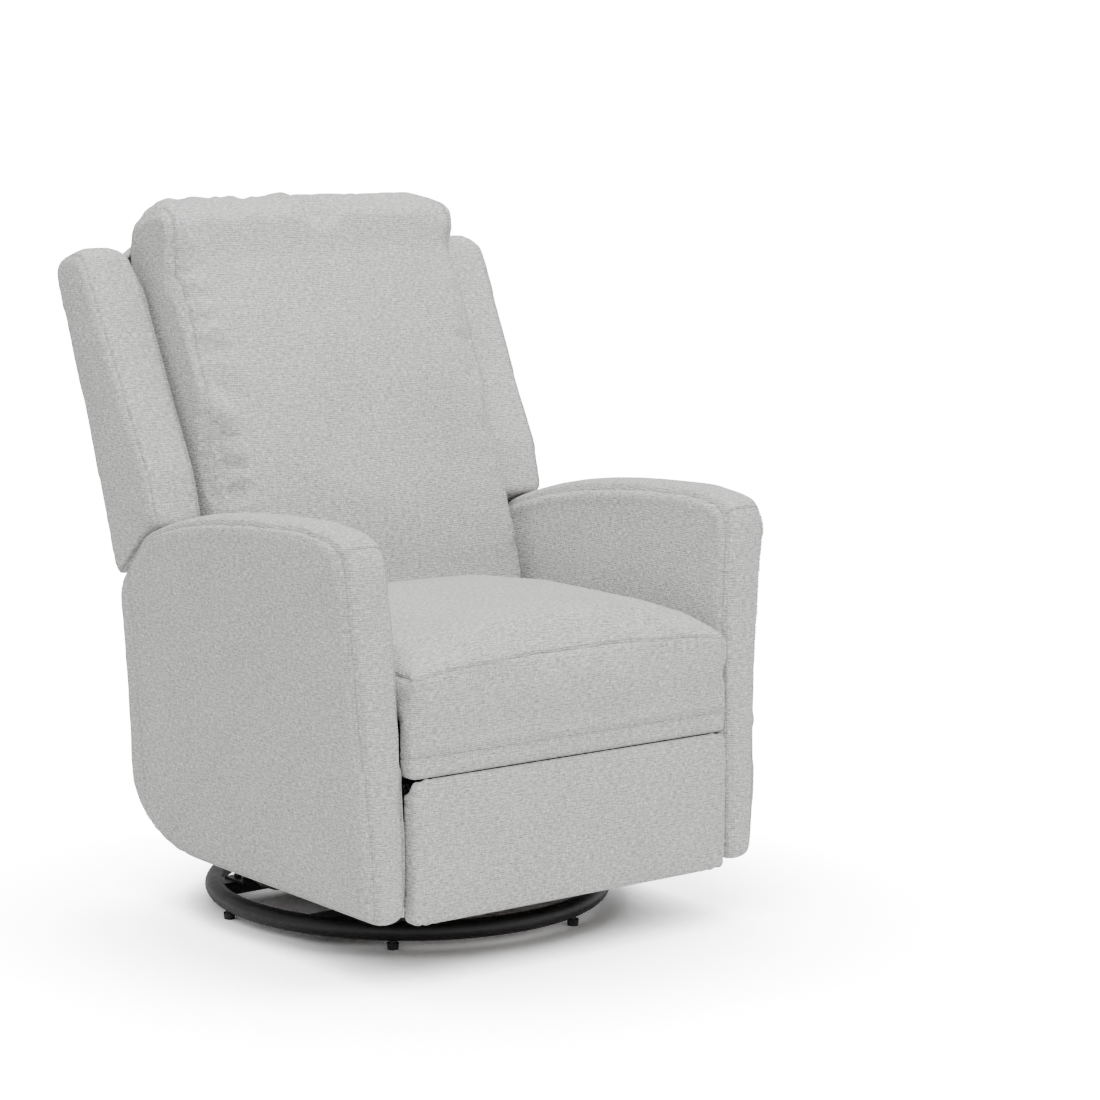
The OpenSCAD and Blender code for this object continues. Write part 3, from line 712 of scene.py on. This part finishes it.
def outline_of(points, middle, turns, window, inset):
    """The furthest points, in Y and Z, that are seen from a middle at each turn, drawn in a little."""
    angle = np.arctan2(points[:, 2] - middle[1], points[:, 1] - middle[0])
    reach = np.hypot(points[:, 1] - middle[0], points[:, 2] - middle[1])
    route = []
    for turn in turns:
        near = np.abs((angle - turn + math.pi) % (2 * math.pi) - math.pi) < window
        if near.any():
            far = reach[near].max() - inset
            route.append((middle[0] + far * math.cos(turn), middle[1] + far * math.sin(turn)))
    return route


def distance_inside(points, outline):
    """How far each point lies from an outline, seen from the side."""
    return distance_to(points * ON_SIDE, [Vector((0, y, z)) for y, z in outline])


# %% Arm shape
ARM_FOOT_THICK = 0.061
FLARE_TOP = 0.646
FLARE_POWER = 1.4
LEAN_Z, LEAN = 0.36, 0.043              # the inner face leans out from here up
UPPER_LEAN_Z, UPPER_LEAN = 0.5, 0.04    # and leans this much more from here up
ARM_MIDDLE = (-0.10, 0.33)
TURN_STEP = 0.03
ARM_TURNS = np.arange(-2.45, 3.2, TURN_STEP)
OUTLINE_IN = 0.004
ARM_SEAM_IN = 0.006
ARM_SEAM_DEEP, ARM_SEAM_WIDE = 0.0045, 0.005
STRIP_RISE, STRIP_HALF = 0.009, 0.035
BELLY_RISE, BELLY_REACH = 0.004, 0.09
MITRE_Y, MITRE_Z = 0.052, 0.047
STITCHES_END_Y = 0.19


# %% Arm covers
def make_arm(side, sign):
    """One arm's cover, crowned on its strip and panels, with its seams and stitches."""
    node = "arm_pad_" + side
    arm = cover_from("arm_cover_" + side, [node], "chassis", 0.006, 10)
    low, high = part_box(node)
    inner, outer = sorted((abs(low.x), abs(high.x)))
    points, normals = points_of(arm), normals_of(arm)

    def outer_x(z):
        """Where the flared outer face stands at a height."""
        u = max(0.0, (z - low.z) / (FLARE_TOP - low.z))
        return inner + ARM_FOOT_THICK + (outer - inner - ARM_FOOT_THICK) * u ** FLARE_POWER

    def inner_x(z):
        """Where the inner face stands at a height: it leans out a little, more near the top."""
        return inner + max(0.0, z - LEAN_Z) * LEAN + max(0.0, z - UPPER_LEAN_Z) * UPPER_LEAN

    width = np.abs(points[:, 0])
    core = points[(width > inner + 0.03) & (width < outer - 0.02)]
    outline = outline_of(core, ARM_MIDDLE, ARM_TURNS, TURN_STEP, OUTLINE_IN)
    centre = np.array([(outer_x(z) + inner_x(z)) / 2 for z in points[:, 2]])
    strip = np.clip(1 - ((width - centre) / STRIP_HALF) ** 2, 0, 1)
    facing_edge = np.clip(1 - np.abs(normals[:, 0]) * 1.6, 0, 1)
    depth_in = np.clip(distance_inside(points, outline) / BELLY_REACH, 0, 1)
    belly = BELLY_RISE * np.sin(depth_in * math.pi / 2) * (np.abs(normals[:, 0]) > 0.6)
    set_points(arm, points + normals * (STRIP_RISE * strip * facing_edge + belly)[:, None])
    for face_x, inset in ((outer_x, 0.002), (inner_x, -0.002)):
        seam = [(sign * (face_x(z) - inset), y, z) for y, z in outline if z > low.z + 0.004]
        sew(arm, seam, ARM_SEAM_DEEP, ARM_SEAM_WIDE)
    points = points_of(arm)
    width, height = np.abs(points[:, 0]), points[:, 2]
    outer_edge = np.array([outer_x(z) for z in height]) - ARM_SEAM_IN
    inner_edge = np.array([inner_x(z) for z in height]) + ARM_SEAM_IN
    corner_y, corner_z = low.y + MITRE_Y, high.z - MITRE_Z
    mitre = (points[:, 1] - corner_y + height - corner_z) / math.sqrt(2)
    in_corner = (points[:, 1] < corner_y) & (height > corner_z)
    in_corner &= (width > inner_edge) & (width < outer_edge)
    all_round = height > 0
    mark_seams(arm, (width - outer_edge, all_round), (width - inner_edge, all_round), (mitre, in_corner))
    for row, inset in (("upper", 0.007), ("lower", 0.013)):
        seam = [(sign * outer_x(z), y + inset * 0.4, z - inset * 0.8) for y, z in outline
                if z > low.z + 0.02 and y < STITCHES_END_Y]
        stitches(f"arm_stitches_{row}_{side}", arm, seam, "chassis")
    finish_cover(arm)


for side, sign in SIDES:
    make_arm(side, sign)

# %% [markdown]
# ## The seat
# The cushion and the band under its front are one sewn box: a domed top, a front that rolls over
# a seam just under the top edge, and a stitched seam low on the front where the band is tucked
# in. The dome is raised by a formula and then blown up as cloth, so that it wrinkles a little
# where the seams hold it.

# %% Seat cushion
seat = cover_from("seat_cover", ["seat_cushion", "seat_front_band"], "seat", 0.006, 11)
seat_low, seat_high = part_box("seat_cushion")
seat_half = seat_high.x
seat_front = seat_low.y
TOP_SEAM = seat_high.z - 0.016
LOW_SEAM = 0.325
SEAM_ARCH = 0.014
DOME_RISE = 0.026
FRONT_CROWN = 0.003
CUSHION_FOOT = 0.36   # below this height the band and the frame hold the cloth
WIDEN_LOW, WIDEN_MORE = 0.017, 0.014
HANG = 0.008


def dome(points, normals):
    """Raises the middle of the top and pushes the middle of the front forward."""
    across = np.clip(1 - (np.abs(points[:, 0]) / (seat_half + 0.01)) ** 2.4, 0, 1)
    back = np.clip((points[:, 1] - seat_front) / 0.09, 0, 1) ** 0.5
    rear = np.clip((seat_high.y + 0.02 - points[:, 1]) / 0.25, 0.15, 1)
    lift = DOME_RISE * across * back * rear * (points[:, 2] > seat_high.z - 0.035)
    front = -FRONT_CROWN * across * (normals[:, 1] < -0.6) * (points[:, 2] > LOW_SEAM)
    return np.stack([0 * lift, front, lift], 1)


def fill_out(points, normals):
    """Widens the seat until it all but meets the arms, and hangs its lower edge over the gap."""
    share = np.clip((points[:, 2] - CUSHION_FOOT) / 0.03, 0, 1)
    widen = points[:, 0] * (WIDEN_LOW + WIDEN_MORE * share)
    hang = -HANG * np.clip((0.33 - points[:, 2]) / 0.02, 0, 1)
    return np.stack([widen, 0 * widen, hang], 1)


def seam_height(x):
    """The top seam is arched: lowest at the corners."""
    return TOP_SEAM - SEAM_ARCH * (x / seat_half) ** 4


# %% Sewing and filling the seat
bump_by(seat, dome)
smooth(seat, 3)
front_seam = [(x, seat_front + 0.006, seam_height(x)) for x in np.linspace(-seat_half, seat_half, 40)]
side_y = np.linspace(seat_front + 0.02, seat_high.y, 30)
side_seams = [[(end * seat_half, y, seam_height(seat_half)) for y in side_y] for end in (-1, 1)]
low_seam = [(x, seat_front + 0.002, LOW_SEAM) for x in np.linspace(-0.28, 0.28, 40)]
seat_points = points_of(seat)
seam_reach = np.minimum(distance_to(seat_points, dense(front_seam)),
                        distance_to(seat_points, dense(low_seam)))
held = np.where(seam_reach < 0.007, 1.0, 0.0)
held[seat_points[:, 2] < CUSHION_FOOT] = 1.0
held[(seat_points[:, 2] < CUSHION_FOOT + 0.025) & (seat_points[:, 1] > seat_front + 0.05)] = 1.0
swell(seat, pressure=3.0, cap=0.012, frames=14, pinned=held, grow=0.02)
for route in (front_seam, *side_seams):
    sew(seat, route, depth=0.0022, width=0.0045)
sew(seat, low_seam, depth=0.0018, width=0.004)
bump_by(seat, fill_out)

# %% Seams and stitches of the seat
STITCHES_OFF = 0.006
seat_points = points_of(seat)
seat_y, seat_z = seat_points[:, 1], seat_points[:, 2]
mark_seams(seat, (seat_z - seam_height(seat_points[:, 0]), seat_y < seat_high.y - 0.02),
           (seat_z - LOW_SEAM, seat_y < seat_front + 0.02))
under_top_seam = [(x, y - 0.01, z - STITCHES_OFF) for x, y, z in front_seam]
over_low_seam = [(x, y - 0.01, z + STITCHES_OFF) for x, y, z in low_seam]
stitches("seat_front_stitches", seat, under_top_seam, "seat")
stitches("seat_band_stitches", seat, over_low_seam, "seat")
finish_cover(seat)

# %% [markdown]
# ## The back cushion
# The back is a loose-feeling pillow between the wings. It is fullest in the middle and rolls over
# the top, where its cloth is gathered. A seam runs down each side a thumb's width in from the
# edge. The cloth is given a little more length than the filling needs before it is blown up, and
# the seams are held, so puckers form along them by themselves.

# %% Back cushion
back = cover_from("back_cover", ["back_cushion"], "back", 0.0065, 9)
back_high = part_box("back_cushion")[1]
RAKE = math.radians(17.6)
slope = np.array([0, math.sin(RAKE), math.cos(RAKE)])
front_way = np.array([0, -math.cos(RAKE), math.sin(RAKE)])
foot = np.array([0, 0.183, 0.332])
back_half = back_high.x
BELLY_FULL, BELLY_START, BELLY_LONG = 0.016, 0.06, 0.74
LUMBAR_FULL, LUMBAR_UP = 0.01, 0.24
SHOULDER_UP, SHOULDER_TAPER = 0.655, 0.075
BACK_HANG, TOP_SINK = 0.012, 0.013


def pillow(points, normals):
    """Fills the middle of the front and lets the shoulders round off."""
    up = (points - foot) @ slope
    ahead = normals @ front_way
    across = np.clip(1 - (np.abs(points[:, 0]) / back_half) ** 2.6, 0, 1)
    arch = np.clip(np.sin((up - BELLY_START) / BELLY_LONG * math.pi), 0, 1) ** 0.5
    belly = BELLY_FULL * across * arch * (ahead > 0.3)
    lumbar = LUMBAR_FULL * across * np.exp(-((up - LUMBAR_UP) / 0.1) ** 2) * (ahead > 0.3)
    moved = (belly + lumbar)[:, None] * front_way
    moved[:, 0] -= points[:, 0] * SHOULDER_TAPER * np.clip((up - SHOULDER_UP) / 0.1, 0, 1.2) ** 2
    moved[:, 2] -= BACK_HANG * np.clip((0.5 - points[:, 2]) / 0.03, 0, 1)
    moved -= slope * TOP_SINK * np.clip((up - 0.6) / 0.12, 0, 1)[:, None]
    return moved


bump_by(back, pillow)
smooth(back, 5)


def on_front(x, up, ahead):
    """A place on the back's front face: across, up the slope and ahead of the frame."""
    return foot + slope * up + front_way * ahead + np.array([x, 0, 0])


# %% Filling the back
# The seams and the foot are held. Each other point's limit is lower towards the right and low down,
# where the filling keeps the cloth taut.
SIDE_SEAM_IN, SIDE_SEAM_AHEAD = 0.018, 0.165
TOP_SEAM_UP, TOP_SEAM_AHEAD = 0.735, 0.075
BACK_SEAM_HELD = 0.012
SWELL_MOST, SWELL_LESS = 0.016, 0.0155
side_lines = [[tuple(on_front(end * (back_half - SIDE_SEAM_IN), up, SIDE_SEAM_AHEAD))
               for up in np.linspace(0.45, 0.7, 24)] for end in (-1, 1)]
top_line = [tuple(on_front(x, TOP_SEAM_UP - 0.5 * abs(x) ** 3, TOP_SEAM_AHEAD))
            for x in np.linspace(-0.245, 0.245, 30)]
back_points = points_of(back)
held = np.zeros(len(back_points))
for route in (*side_lines, top_line):
    held[distance_to(back_points, dense(route)) < BACK_SEAM_HELD] = 1.0
held[((back_points - foot) @ front_way) < 0.04] = 1.0
held[back_points[:, 2] < 0.49] = 1.0
calm = np.clip((back_points[:, 0] + 0.1) / 0.25, 0, 1) * np.clip((0.86 - back_points[:, 2]) / 0.2, 0, 1)
low_down = np.clip((0.66 - back_points[:, 2]) / 0.16, 0, 1)
back_cap = SWELL_MOST - SWELL_LESS * np.maximum(0.85 * calm, low_down)
swell(back, pressure=3.4, cap=back_cap, frames=18, pinned=held, grow=0.04)

# %% Gathers and seams of the back
FOLD_DEEP, PUCKER_DEEP = 0.0042, 0.0022
FOLD_WAVES, FINE_FOLD_WAVES, PUCKER_WAVES = 95, 167, 118    # radians to the metre


def gather(points, normals):
    """Small folds that run down from the top seam and in from the side seams."""
    up = (points - foot) @ slope
    across = points[:, 0]
    inside = np.abs(across) - back_half
    drawn = np.exp(-((across + 0.04) / 0.06) ** 2) + np.exp(-((across - 0.25) / 0.035) ** 2) + 0.22
    near_top = np.exp(-((up - 0.715) / 0.05) ** 2) * drawn
    fold = np.sin(across * FOLD_WAVES + 1.3 * np.sin(across * 31)) * 0.6
    fold += np.sin(across * FINE_FOLD_WAVES + 0.7) * 0.4
    near_side = np.exp(-((inside + 0.035) / 0.02) ** 2) * (up < 0.66) * (up > 0.2)
    near_side *= np.where(across < 0, 1.0, 0.4)
    pucker = np.sin(up * PUCKER_WAVES + 2.1 * np.sin(up * 23) + np.sign(across))
    size = FOLD_DEEP * near_top * fold + PUCKER_DEEP * near_side * pucker
    return normals * size[:, None]


bump_by(back, gather)
for route in side_lines:
    sew(back, route, depth=0.003, width=0.005)
sew(back, top_line, depth=0.003, width=0.006)


def tuck_sides(points, normals):
    """Keeps the sides of the pillow clear of the wings."""
    over = np.clip(np.abs(points[:, 0]) - back_half + 0.006, 0, None)
    return np.stack([-np.sign(points[:, 0]) * over, 0 * over, 0 * over], 1)


bump_by(back, tuck_sides)
back_points, back_normals = points_of(back), normals_of(back)
back_up = (back_points - foot) @ slope
facing = back_normals @ front_way > 0.2
side_seam = np.abs(back_points[:, 0]) - back_half + SIDE_SEAM_IN
mark_seams(back, (side_seam, facing & (back_up > 0.42) & (back_up < 0.72)))
finish_cover(back)

# %% [markdown]
# ## The wings
# Each wing is a boxed panel at the side of the back, with its own front strip. It leans with the
# back and stands clear of the arm below, so a dark line shows between them.


# %% Wings
WING_TURNS = np.arange(-math.pi, math.pi + 0.05, 0.06)
WING_EDGE_X = 0.366       # where the outer face meets the front strip, up to where it starts to lean
LEAN_FROM_Z = 0.55
WING_BELLY, WING_BELLY_REACH = 0.005, 0.05
WING_CLEAR = 0.003
WING_SEAM_OUT, WING_SEAM_IN = 0.006, 0.009


def make_wing(side, sign):
    """One wing's cover with a seam round its outer and its inner face."""
    node = "wing_" + side
    wing = cover_from("wing_cover_" + side, [node], "back", 0.005, 9)
    low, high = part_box(node)
    inner, outer = sorted((abs(low.x), abs(high.x)))
    points = points_of(wing)
    middle = points.mean(0)
    outline = outline_of(points, middle[1:], WING_TURNS, 0.05, 0.003)
    lean = (outer - WING_EDGE_X) / (high.z - LEAN_FROM_Z)

    def belly(points, normals):
        """Crowns the two faces between their seams."""
        inward = np.clip(distance_inside(points, outline) / WING_BELLY_REACH, 0, 1)
        facing_side = np.clip(np.abs(normals[:, 0]), 0, 1) ** 2
        return normals * (WING_BELLY * facing_side * inward)[:, None]

    def step_clear(points, normals):
        """Moves the inner face away from the back cushion."""
        moved = np.zeros_like(points)
        moved[:, 0] = sign * WING_CLEAR * (np.abs(points[:, 0]) < inner + 0.02)
        return moved

    bump_by(wing, belly)
    seam = [(sign * (WING_EDGE_X + lean * max(0.0, z - LEAN_FROM_Z) - 0.001), y, z) for y, z in outline]
    sew(wing, seam, depth=0.0015, width=0.004)
    bump_by(wing, step_clear)
    points = points_of(wing)
    width, height = np.abs(points[:, 0]), points[:, 2]
    edge = WING_EDGE_X - WING_SEAM_OUT + lean * np.maximum(0.0, height - LEAN_FROM_Z)
    all_round = height > 0
    mark_seams(wing, (width - edge, all_round), (width - inner - WING_SEAM_IN, all_round))
    finish_cover(wing)


for side, sign in SIDES:
    make_wing(side, sign)

# %% [markdown]
# ## The footrest
# The footrest is a board in a padded cover, pulled tight round its edges, so its corners are
# rounded and each has a small pleat.

# %% Footrest pad
footrest = cover_from("footrest_cover", ["footrest_pad"], "footrest", 0.005, 5)
pad_low, pad_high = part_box("footrest_pad")
PAD_CROWN, PAD_RISE, PLEAT_DEEP = 0.008, 0.003, 0.0022
PLEAT_FROM_EDGE = 0.008


def plump(points, normals):
    """Crowns the face, most in the middle, with small pleats at the four corners."""
    across = np.clip(1 - (np.abs(points[:, 0]) / pad_high.x) ** 6, 0, 1)
    middle = (pad_low.z + pad_high.z) / 2
    half = (pad_high.z - pad_low.z) / 2
    tall = np.clip(1 - (np.abs(points[:, 2] - middle) / half) ** 4, 0, 1)
    ahead = PAD_CROWN * across * tall * (normals[:, 1] < -0.3)
    rise = PAD_RISE * np.clip((points[:, 2] - pad_high.z + 0.03) / 0.02, 0, 1)
    to_corner = np.hypot(np.abs(points[:, 0]) - pad_high.x + PLEAT_FROM_EDGE,
                         np.abs(points[:, 2] - middle) - half + PLEAT_FROM_EDGE)
    pleat = PLEAT_DEEP * np.exp(-(to_corner / 0.03) ** 2) * np.sin(to_corner * 420)
    return normals * (pleat + ahead)[:, None] + rise[:, None] * np.array([0, 0, 1])


bump_by(footrest, plump)
finish_cover(footrest)

# %% [markdown]
# ## The shade sheets
# Near-black sheets fill the narrow gaps under the covers as painted shade, so that no light shows
# through them: under the seat's front edge and rear, along its side rails, and over the ends of the
# footrest's board. Each sheet is a thin flat box.

# %% Shade sheets
SHEET_THICK = 0.001
BOX_FACES = [(0, 1, 3, 2), (4, 6, 7, 5), (0, 4, 5, 1), (2, 3, 7, 6), (0, 2, 6, 4), (1, 5, 7, 3)]


def shade_sheet(name, low, high, body):
    """A thin black sheet of painted shade, as a box between two corners."""
    corners = [(x, y, z) for x in (low[0], high[0]) for y in (low[1], high[1]) for z in (low[2], high[2])]
    mesh = bpy.data.meshes.new(name)
    mesh.from_pydata(corners, [], BOX_FACES)
    mesh.materials.append(shade_cloth)
    made = bpy.data.objects.new(name, mesh)
    scene.collection.objects.link(made)
    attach(made, body)
    print(name, [round(end - start, 3) for start, end in zip(low, high)])


# %% Shade sheets under the seat and on the footrest
rail_low, rail_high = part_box("seat_rail_left")
board_low, board_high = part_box("footrest_board")
REAR_HALF, REAR_Y, REAR_Z = 0.238, 0.121, (0.252, 0.334)
FRONT_HALF = 0.284
front_y = seat_front + 0.05
# Painted shade: near-black sheets in the gaps under the seat, on its rails and on the footrest board's
# ends.
shade_sheet("gap_shade_rear", (-REAR_HALF, REAR_Y, REAR_Z[0]), (REAR_HALF, REAR_Y + SHEET_THICK, REAR_Z[1]), "seat")
shade_sheet("gap_shade_front", (-FRONT_HALF, front_y, pad_high.z - 0.011),
       (FRONT_HALF, front_y + 2 * SHEET_THICK, pad_high.z + 0.023), "seat")
for side, sign in SIDES:
    rail_x = sorted((sign * (rail_high.x + SHEET_THICK / 2), sign * (rail_high.x + 2 * SHEET_THICK)))
    shade_sheet("gap_shade_" + side, (rail_x[0], rail_low.y - 0.012, rail_low.z - 0.004),
           (rail_x[1], rail_high.y, rail_high.z - 0.004), "seat")
    board_x = sorted((sign * (board_high.x + SHEET_THICK / 2), sign * (board_high.x + 2 * SHEET_THICK)))
    shade_sheet("board_end_" + side, (board_x[0], board_low.y - 0.002, board_low.z),
           (board_x[1], board_high.y + SHEET_THICK, board_high.z + SHEET_THICK), "footrest")

# %% [markdown]
# ## The rear panels
# The outside back and the lower back panel are thin wadding over boards, pulled flat. The outside
# back's top is brought down at its ends, where it meets the wings.

# %% Rear panels
cap_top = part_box("outside_back")[1].z
CAP_DROP = 0.035


def round_cap(points, normals):
    """Brings the ends of the outside back's top down to the wings."""
    near_end = np.clip((np.abs(points[:, 0]) - 0.2) / 0.07, 0, 1) ** 2
    near_top = np.clip((points[:, 2] - cap_top + 0.06) / 0.03, 0, 1)
    return np.stack([0 * near_end, 0 * near_end, -CAP_DROP * near_end * near_top], 1)


for name, node, body in (("outside_back_cover", "outside_back", "back"),
                         ("lower_back_cover", "lower_back_panel", "chassis")):
    panel = cover_from(name, [node], body, 0.005, 4)
    if body == "back":
        bump_by(panel, round_cap)
    finish_cover(panel)
